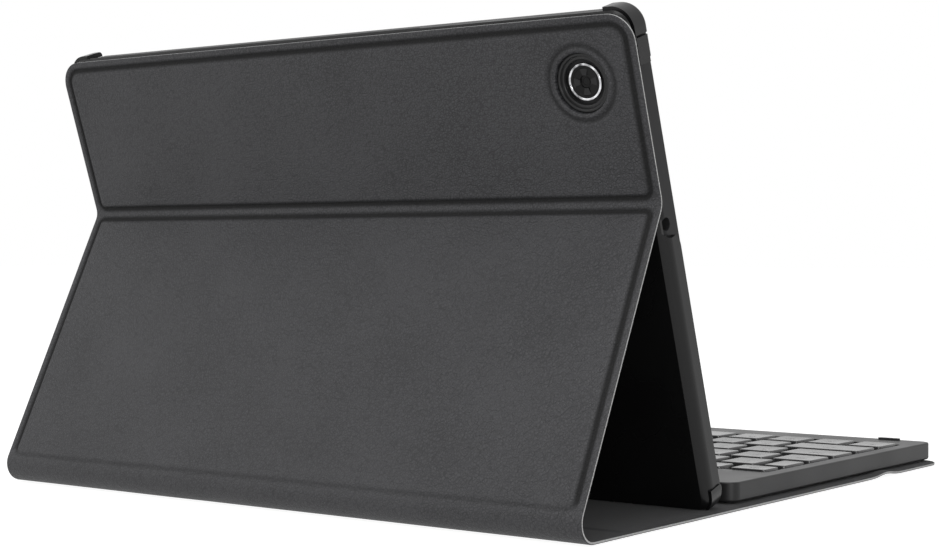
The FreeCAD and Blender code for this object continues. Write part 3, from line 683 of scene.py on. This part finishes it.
CAD_PAINT = {
    BOARD: ("board_upper", "board_flap", "board_front"),
    MAGNET: ("cover_magnets", "kb_magnets"),
    TRAY: ("tray",),
    TABLET: ("tablet_shell",),
    SCREEN: ("tablet_glass",),
    KB_CASE: ("kb_shell", "kb_frame"),
    KB_INNER: ("kb_key_plate", "kb_power_slider"),
    SILICONE: ("kb_bumpers", "kb_feet", "kb_dome_sheet"),
    MEMBRANE: ("kb_membrane",),
    CIRCUIT: ("kb_circuit",),
    BATTERY: ("kb_battery",),
    SCREW: ("kb_screws",),
    SOCKET: ("kb_charge_socket",),
    LIGHT: ("kb_lights",),
}


def paint_cad_nodes():
    """Gives the CAD nodes that are shown as they are their materials."""
    for material, names in CAD_PAINT.items():
        for name in names:
            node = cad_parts[name]
            node.data.materials.clear()
            node.data.materials.append(material)


# ---------------------------------------------------------------- leather and lining
LEATHER_RIM = ((0.08, 0.02, 0), (0.18, 0.09, 0), (0.24, 0.2, 0), (EDGE_ROUND, 0.34, 0),
               (EDGE_ROUND - 0.03, 0.37, 1), (EDGE_ROUND - 0.02, 0.95, 1))
LINING_RIM = ((0.05, 0.15, 0), (0.05, 0.85, 0))
LEATHER_SET = (LEATHER, CORE, LINING)
LINING_SET = (LINING, LINING, LINING)
# How close the grid's rows and columns lie in places, and the zones (from, to, step) in s
RIM_STEP = 0.12
CAMERA_STEP = 1.1
WAVE_STEP = 1.2
CREASE_ZONE = (-3.6, 3.6, 0.3)
LINING_TOP_ZONE = (0.0, 3.5, 0.4)
BEND_ZONE = (S_BEND, S_FLAT, 0.5)


def edge_zone(at, reach=1.3, step=0.33):
    """A fine zone of the grid at a stiffener's edge."""
    return (at - reach, at + reach, step)


def cover_columns():
    half = HALF - EDGE_ROUND
    zones = [edge_zone(side * (HALF - BOARD_INSET)) for side in (-1, 1)]
    zones.append((CAMERA_X - CAMERA_PATCH, CAMERA_X + CAMERA_PATCH, CAMERA_STEP))
    return spaced((-half, CAMERA_X - CAMERA_PATCH, CAMERA_X + CAMERA_PATCH, half), zones)


def front_cover_rows():
    """Grid rows that the leather and the lining of the front cover share."""
    front_edge = S_FRONT - EDGE_ROUND
    wave_s = S_FLAT + BEND_Y - WAVE_Y
    return spaced((S_SPINE_SEAM, front_edge),
                  [edge_zone(S_SPINE + CREASE_HALF), edge_zone(S_FRONT - BOARD_INSET),
                   (front_edge, front_edge, RIM_STEP),
                   (wave_s - 2 * WAVE_HALF, wave_s + 2 * WAVE_HALF, WAVE_STEP)])


def leather_sheets():
    columns = cover_columns()
    top_edge = -UPPER + EDGE_ROUND
    rows = spaced((top_edge, -CAMERA_V - CAMERA_PATCH, -CAMERA_V + CAMERA_PATCH, S_FLAP_SEAM),
                  [(top_edge, top_edge, RIM_STEP), edge_zone(-(UPPER - BOARD_INSET)),
                   (-CAMERA_V - CAMERA_PATCH, -CAMERA_V + CAMERA_PATCH, CAMERA_STEP), CREASE_ZONE])
    back = sheet("leather_back", columns, rows, outer_n, skin_back_n, LEATHER_RIM, LEATHER_SET,
                 round_low=True, hole=(CAMERA_X, -CAMERA_V, CAMERA_PATCH))
    rows = spaced((S_FLAP_SEAM, S_SPINE_SEAM), [edge_zone(S_BEND), BEND_ZONE])
    stand = sheet("leather_stand", columns, rows, outer_n, skin_back_n, LEATHER_RIM, LEATHER_SET)
    cover = sheet("leather_cover", columns, front_cover_rows(), outer_n, skin_back_n, LEATHER_RIM,
                  LEATHER_SET, round_high=True)
    return back, stand, cover


def lining_sheets():
    columns = cover_columns()
    rows = spaced((JOINT_GAP, S_SPINE_SEAM), [LINING_TOP_ZONE, edge_zone(S_BEND), BEND_ZONE])
    stand = sheet("lining_of_stand", columns, rows, skin_back_n, lining_n, LINING_RIM, LINING_SET)
    cover = sheet("lining_of_cover", columns, front_cover_rows(), skin_back_n, lining_n, LINING_RIM,
                  LINING_SET, round_high=True)
    return stand, cover


def join_cover():
    back, stand, cover = leather_sheets()
    lining_stand, lining_cover = lining_sheets()
    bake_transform(back)
    for piece in (stand, lining_stand):
        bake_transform(piece)
    for piece in (cover, lining_cover):
        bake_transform(piece)
    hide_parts("skin_upper")
    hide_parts("skin_flap", "skin_spine")
    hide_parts("skin_front")
    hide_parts("lining_flap", "lining_spine")
    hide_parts("lining_front")


# ---------------------------------------------------------------- turned pieces at the camera
TURNED_SEGMENTS = 96
ARC_STEPS = 6
TABLET_N = 3.35                  # depth of the tablet's back
RING_R = 5.9
RING_N = TABLET_N - 1.1          # depth of the trim ring's crest
GLINT_STEPS = 8
GLINT_T = 0.06


def camera_point(radius, angle, n):
    """A point round the camera's axis, at a depth n."""
    return tray_point(CAMERA_X + radius * math.cos(angle), CAMERA_V + radius * math.sin(angle), n)


def turned(name, outline, material):
    """A ring or cap turned about the camera's axis. The outline is a closed loop of (radius, n)."""
    points = []
    faces = []
    count = len(outline)
    for index in range(TURNED_SEGMENTS):
        angle = 2 * math.pi * index / TURNED_SEGMENTS
        points += [camera_point(radius, angle, n) for radius, n in outline]
    for index in range(TURNED_SEGMENTS):
        here, after = index * count, (index + 1) % TURNED_SEGMENTS * count
        for step in range(count):
            ahead = (step + 1) % count
            faces.append((here + step, here + ahead, after + ahead, after + step))
    return mesh_object(name, points, faces, [material])


def arc(radius, n, size, start, stop):
    """Points of a round in an outline, about (radius, n), between two angles in degrees."""
    angles = [math.radians(start + (stop - start) * k / ARC_STEPS) for k in range(ARC_STEPS + 1)]
    return [(radius + size * math.cos(angle), n + size * math.sin(angle)) for angle in angles]


def add_lens_glints():
    """Four faint bright sectors on the dark lens: painted reflections, built as lighter plates."""
    points, faces = [], []

    def sector(inner, outer, middle, half, n):
        start = len(points)
        for level in (n, n + GLINT_T):
            for radius in (inner, outer):
                for k in range(GLINT_STEPS + 1):
                    angle = math.radians(middle + half * (2 * k / GLINT_STEPS - 1))
                    points.append(camera_point(radius, angle, level))
        row = GLINT_STEPS + 1
        for k in range(GLINT_STEPS):
            a, b, c, d = (start + row * level + k for level in range(4))
            faces.extend(((a, b, b + 1, a + 1), (c, c + 1, d + 1, d),
                          (a, a + 1, c + 1, c), (b, d, d + 1, b + 1)))
        for k in (0, GLINT_STEPS):
            a, b, c, d = (start + row * level + k for level in range(4))
            faces.append((a, c, d, b) if k == 0 else (a, b, d, c))

    for middle in (0, 90, 180, 270):
        sector(2.0, 4.1, middle, 19, RING_N + 0.42)
    glints = mesh_object("camera_lens_glints", points, faces, [LENS_GLINT])
    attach(glints, "tablet")


def camera_pieces():
    """The bright trim ring and dark lens of the tablet, and the tray's bezel round them."""
    ring_outline = [(5.05, RING_N + 1.0)] + arc(5.3, RING_N + 0.25, 0.25, 180, 270) \
        + arc(5.6, RING_N + 0.3, 0.3, 270, 360) + [(RING_R, TABLET_N + 0.5), (5.05, TABLET_N + 0.5)]
    ring = turned("camera_trim_ring", ring_outline, CHROME)
    barrel_outline = [(5.03, RING_N + 0.32), (5.03, TABLET_N + 0.5),
                      (0.001, TABLET_N + 0.5), (0.001, RING_N + 0.95),
                      (1.1, RING_N + 0.95), (1.15, RING_N + 0.85),
                      (1.35, RING_N + 0.85), (1.4, RING_N + 1.0),
                      (1.9, RING_N + 1.0), (2.1, RING_N + 0.7),
                      (4.3, RING_N + 0.45), (4.4, RING_N + 0.32)]
    barrel = turned("camera_lens_barrel", barrel_outline, LENS_BODY)
    for piece, slot, node in ((ring, "bright_ring", "camera_ring"), (barrel, "lens", "camera_lens")):
        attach(piece, "tablet")
        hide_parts(node)
    bezel_outline = [(9.2, PANEL_T + 0.5), (9.2, PANEL_T - 0.25)] \
        + arc(8.95, PANEL_T - 0.25, 0.25, 0, -90) \
        + arc(8.55, PANEL_T - 0.2, 0.3, -90, -180) + [(8.1, PANEL_T + 0.15), (7.95, PANEL_T + 0.1)] \
        + arc(7.45, PANEL_T + 0.4, 0.35, -60, -180) + [(7.1, PANEL_T + 1.3), (7.6, PANEL_T + 1.3)]
    bezel = turned("camera_bezel", bezel_outline, BEZEL)
    add_lens_glints()
    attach(bezel, "tray")


# ---------------------------------------------------------------- keys
KEY_CORNER = 1.2
KEY_ROUND = 0.35
KEY_TAPER = 0.45
KEY_DISH = 0.22
KEY_SLOPE = 0.9 * KEY_TAPER       # how far in the sides come up to the top's rounding
KEY_SKIN = 0.9
KEY_GAP = 0.5                    # no gap inside one key is as wide as this
KEY_CORNER_STEPS = 4
KEY_ROUND_STEPS = 3
KEY_TOP_SHARES = (0.12, 0.3, 0.5, 0.7, 0.88)     # the top's rings, from its rim to its middle
KEY_LEAST_CORNER = 0.15
KEY_HOLLOW_CORNER = 0.4
LEGEND_T = 0.05
LEGEND_RAISE = 0.3               # share of the print's thickness by which its middle stands proud
LETTER_SIZE = 5.0
WORD_SIZE = 3.3
LOW_KEY = 13                     # a key less deep than this has small print
LOW_KEY_SIZE = 3.0

LEGENDS = {
    "key_escape": ("esc",), "key_f1": ("F1",),
    "keys_row_fn": ("F2", "F3", "F4", "F5", "F6", "F7", "F8", "F9", "F10", "F11", "del"),
    "key_backquote": ("`",), "key_1": ("1",), "key_2": ("2",), "key_backspace": ("back",),
    "keys_row_digit": ("3", "4", "5", "6", "7", "8", "9", "0", "-"),
    "key_tab": ("tab",), "key_q": ("Q",), "key_w": ("W",),
    "keys_row_top": ("E", "R", "T", "Y", "U", "I", "O", "P", "[", "]"),
    "key_caps": ("caps",), "key_a": ("A",), "key_s": ("S",), "key_enter": ("enter",),
    "keys_row_home": ("D", "F", "G", "H", "J", "K", "L", ";"),
    "key_shift": ("shift",), "key_z": ("Z",), "key_x": ("X",),
    "keys_row_bottom": ("C", "V", "B", "N", "M", ",", ".", "/", "shift"),
    "key_fn": ("fn",), "key_ctrl": ("ctrl",), "key_option": ("opt",), "key_alt": ("alt",),
    "key_space": ("",),
    "keys_row_space": ("alt", "<", "v", ">"),
}


def key_boxes(node):
    """Box of each key in a node, in order of x: runs of faces with no gap between them along x."""
    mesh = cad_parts[node].data
    faces = [[mesh.vertices[index].co / MM for index in polygon.vertices] for polygon in mesh.polygons]
    faces.sort(key=lambda corners: min(corner.x for corner in corners))
    groups = []
    reach = None
    for corners in faces:
        if reach is None or min(corner.x for corner in corners) > reach + KEY_GAP:
            groups.append([])
            reach = max(corner.x for corner in corners)
        reach = max([reach] + [corner.x for corner in corners])
        groups[-1] += corners
    boxes = []
    for group in groups:
        xs, ys, zs = ([co[axis] for co in group] for axis in range(3))
        boxes.append((min(xs), max(xs), min(ys), max(ys), min(zs), max(zs)))
    return boxes


def key_loop(box, inset, z, corner):
    """A rounded rectangle's points at one height, inset from a key's box, counter-clockwise."""
    x0, x1, y0, y1 = box[0] + inset, box[1] - inset, box[2] + inset, box[3] - inset
    radius = max(KEY_LEAST_CORNER, corner)
    centres = ((x1 - radius, y0 + radius, 270), (x1 - radius, y1 - radius, 0),
               (x0 + radius, y1 - radius, 90), (x0 + radius, y0 + radius, 180))
    loop = []
    for cx, cy, start in centres:
        for k in range(KEY_CORNER_STEPS + 1):
            angle = math.radians(start + 90 * k / KEY_CORNER_STEPS)
            loop.append(Vector((cx + radius * math.cos(angle), cy + radius * math.sin(angle), z)))
    return loop


def key_top(x, y, box):
    """Height of the dished top over a place on the key."""
    x0, x1, y0, y1, _, z1 = box
    across = abs(2 * x - x0 - x1) / (x1 - x0 - 2 * KEY_TAPER)
    along = abs(2 * y - y0 - y1) / (y1 - y0 - 2 * KEY_TAPER)
    return z1 - KEY_DISH * (1 - min(1.0, across) ** 4) * (1 - min(1.0, along) ** 2)


def add_keycap(points, faces, bands, box):
    """A hollow keycap: up the inside, and round the skirt, the tapered side and the dished top."""
    x0, x1, y0, y1, z0, z1 = box
    start = len(points)
    loops = [key_loop(box, 0.0, z0, KEY_CORNER), key_loop(box, KEY_SLOPE, z1 - KEY_ROUND, KEY_CORNER)]
    for k in range(1, KEY_ROUND_STEPS + 1):
        angle = math.radians(90 / KEY_ROUND_STEPS * k)
        inset = KEY_SLOPE + KEY_ROUND * (1 - math.cos(angle))
        height = z1 - KEY_ROUND * (1 - math.sin(angle))
        loops.append(key_loop(box, inset, height, KEY_CORNER - 0.1 * k))
    rim_inset = KEY_SLOPE + KEY_ROUND
    shortest = min(x1 - x0, y1 - y0) / 2 - rim_inset
    for share in KEY_TOP_SHARES:
        corner = max(0.2, (KEY_CORNER - 0.3) * (1 - share))
        loop = key_loop(box, rim_inset + shortest * share, z1, corner)
        loops.append([Vector((p.x, p.y, key_top(p.x, p.y, box))) for p in loop])
    inner = KEY_SKIN + KEY_TAPER
    under = [key_loop(box, inner, z0, KEY_HOLLOW_CORNER),
             key_loop(box, inner, z1 - KEY_SKIN, KEY_HOLLOW_CORNER)]
    ring = len(loops[0])
    for loop in under[::-1] + loops:
        points.extend(loop)
    order = len(under) + len(loops)
    for level in range(order - 1):
        for k in range(ring):
            after = (k + 1) % ring
            a, b = start + level * ring, start + (level + 1) * ring
            faces.append((a + k, a + after, b + after, b + k))
            bands.append(0)
    faces.append(tuple(start + (order - 1) * ring + k for k in range(ring)))
    faces.append(tuple(start + k for k in reversed(range(ring))))
    bands += [0, 0]


def text_mesh(text, size):
    """Vertices and faces of a word, centred on its own middle, in millimetres."""
    curve = bpy.data.curves.new("legend_text", "FONT")
    curve.body = text
    curve.size = size
    curve.extrude = LEGEND_T / 2
    curve.resolution_u = 3
    curve.align_x = "CENTER"
    curve.align_y = "CENTER"
    holder = bpy.data.objects.new("legend_text", curve)
    bpy.context.scene.collection.objects.link(holder)
    bpy.context.view_layer.update()
    mesh = bpy.data.meshes.new_from_object(holder.evaluated_get(bpy.context.evaluated_depsgraph_get()))
    vertices = [vertex.co.copy() for vertex in mesh.vertices]
    faces = [tuple(polygon.vertices) for polygon in mesh.polygons]
    bpy.data.objects.remove(holder)
    bpy.data.curves.remove(curve)
    bpy.data.meshes.remove(mesh)
    return vertices, faces


def add_legend(points, faces, bands, box, text):
    """A word printed on the middle of a key."""
    if not text:
        return
    x0, x1, y0, y1, _, _ = box
    size = LETTER_SIZE if len(text) == 1 else WORD_SIZE
    if y1 - y0 < LOW_KEY:
        size = LOW_KEY_SIZE
    vertices, polygons = text_mesh(text, size)
    start = len(points)
    cx, cy = (x0 + x1) / 2, (y0 + y1) / 2
    for vertex in vertices:
        x, y = cx + vertex.x, cy + vertex.y
        points.append(Vector((x, y, key_top(x, y, box) + LEGEND_T * LEGEND_RAISE + vertex.z)))
    for polygon in polygons:
        faces.append(tuple(start + index for index in polygon))
        bands.append(1)


def make_keys():
    """One piece for each key node, with its caps and their print."""
    for node, legends in LEGENDS.items():
        points, faces, bands = [], [], []
        for box, text in zip(key_boxes(node), legends):
            add_keycap(points, faces, bands, box)
            add_legend(points, faces, bands, box, text)
        piece = mesh_object(node + "_cap", [point * MM for point in points], faces, [KEYCAP, LEGEND], bands)
        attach(piece, node)
        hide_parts(node)


# ---------------------------------------------------------------- studio
FLOOR_HALF = 8.0                 # metres, as are the places and sizes below
FLOOR_Z = -0.0002
FLOOR_GLOW = 0.93                # what the camera and reflections see of the floor
FLOOR_LIT = 0.3                  # and how much of the light on it they see, for the shadow
FLOOR_BOUNCE = 0.75              # the floor's colour for the light that it throws back
WORLD_LEVEL = 0.4
# Area lamps as (name, place, target, side, watts)
LAMPS = (
    ("overhead", (-0.25, 0.35, 1.5), (0, 0, 0.05), 1.2, 17),
    ("rear_left", (0.9, 1.3, 0.7), (0, 0, 0.08), 1.0, 7),
    ("camera_side", (-1.1, 0.62, 0.16), (-0.12, 0, 0.06), 0.25, 5),
)
SENSOR_WIDTH = 36.0
LENS_LENGTH = 70.2
CAMERA_PLACE = (-0.40929, 0.47426, 0.08392)
CAMERA_DIP = 0.7447              # degrees below the horizon
CAMERA_TURN = 36.907             # degrees from straight behind the case


def seen_directly(tree):
    """1 for the rays of the camera, of reflections and of glass, and 0 for the rest."""
    path = tree.nodes.new("ShaderNodeLightPath")
    mirrored = tree.nodes.new("ShaderNodeMath")
    mirrored.operation = "MAXIMUM"
    tree.links.new(path.outputs["Is Glossy Ray"], mirrored.inputs[0])
    tree.links.new(path.outputs["Is Transmission Ray"], mirrored.inputs[1])
    seen = tree.nodes.new("ShaderNodeMath")
    seen.operation = "MAXIMUM"
    tree.links.new(path.outputs["Is Camera Ray"], seen.inputs[0])
    tree.links.new(mirrored.outputs[0], seen.inputs[1])
    return seen.outputs[0]


def choose_shader(tree, hidden, shown, output_kind):
    """Ends a node tree with one shader for rays that see it directly and another for the rest."""
    mix = tree.nodes.new("ShaderNodeMixShader")
    tree.links.new(seen_directly(tree), mix.inputs["Fac"])
    tree.links.new(hidden.outputs[0], mix.inputs[1])
    tree.links.new(shown.outputs[0], mix.inputs[2])
    output = tree.nodes.new(output_kind)
    tree.links.new(mix.outputs[0], output.inputs["Surface"])


def grey_shader(tree, kind, value):
    shader = tree.nodes.new(kind)
    shader.inputs["Color"].default_value = (value, value, value, 1)
    return shader


def backdrop_paint():
    """Pale floor: white to the camera and to reflections, while it keeps the object's shadow."""
    material = bpy.data.materials.new("pale_floor")
    material.use_nodes = True
    tree = material.node_tree
    tree.nodes.clear()
    plain = grey_shader(tree, "ShaderNodeBsdfDiffuse", FLOOR_BOUNCE)
    shadowed = grey_shader(tree, "ShaderNodeBsdfDiffuse", FLOOR_LIT)
    glow = tree.nodes.new("ShaderNodeEmission")
    glow.inputs["Strength"].default_value = FLOOR_GLOW
    both = tree.nodes.new("ShaderNodeAddShader")
    tree.links.new(shadowed.outputs[0], both.inputs[0])
    tree.links.new(glow.outputs[0], both.inputs[1])
    choose_shader(tree, plain, both, "ShaderNodeOutputMaterial")
    return material


def studio_world():
    """A dim, even world that is white to the camera and to reflections."""
    world = bpy.data.worlds.new("studio")
    bpy.context.scene.world = world
    world.use_nodes = True
    tree = world.node_tree
    tree.nodes.clear()
    light = tree.nodes.new("ShaderNodeBackground")
    light.inputs["Strength"].default_value = WORLD_LEVEL
    white = grey_shader(tree, "ShaderNodeBackground", 1)
    choose_shader(tree, light, white, "ShaderNodeOutputWorld")


def softbox(name, place, target, side, watts):
    """A square area lamp that faces a target."""
    lamp = bpy.data.lights.new(name, "AREA")
    lamp.shape = "RECTANGLE"
    lamp.size = lamp.size_y = side
    lamp.energy = watts
    holder = bpy.data.objects.new(name, lamp)
    holder.location = place
    holder.rotation_euler = (Vector(target) - Vector(place)).to_track_quat("-Z", "Y").to_euler()
    bpy.context.scene.collection.objects.link(holder)


def studio():
    corners = ((-1, -1), (1, -1), (1, 1), (-1, 1))
    floor = mesh_object("floor", [Vector((x * FLOOR_HALF, y * FLOOR_HALF, 0.0)) for x, y in corners],
                        [(0, 1, 2, 3)], [backdrop_paint()])
    floor.location.z = FLOOR_Z
    studio_world()
    for lamp in LAMPS:
        softbox(*lamp)


def add_camera():
    camera = bpy.data.objects.new("camera", bpy.data.cameras.new("camera"))
    camera.data.sensor_width = SENSOR_WIDTH
    camera.data.lens = LENS_LENGTH
    camera.location = CAMERA_PLACE
    camera.rotation_euler = Euler((math.radians(90 - CAMERA_DIP), 0.0, math.radians(180 + CAMERA_TURN)))
    bpy.context.scene.collection.objects.link(camera)
    bpy.context.scene.camera = camera


bpy.context.scene.view_settings.view_transform = "Standard"
add_camera()
studio()
paint_cad_nodes()
join_cover()
camera_pieces()
make_keys()
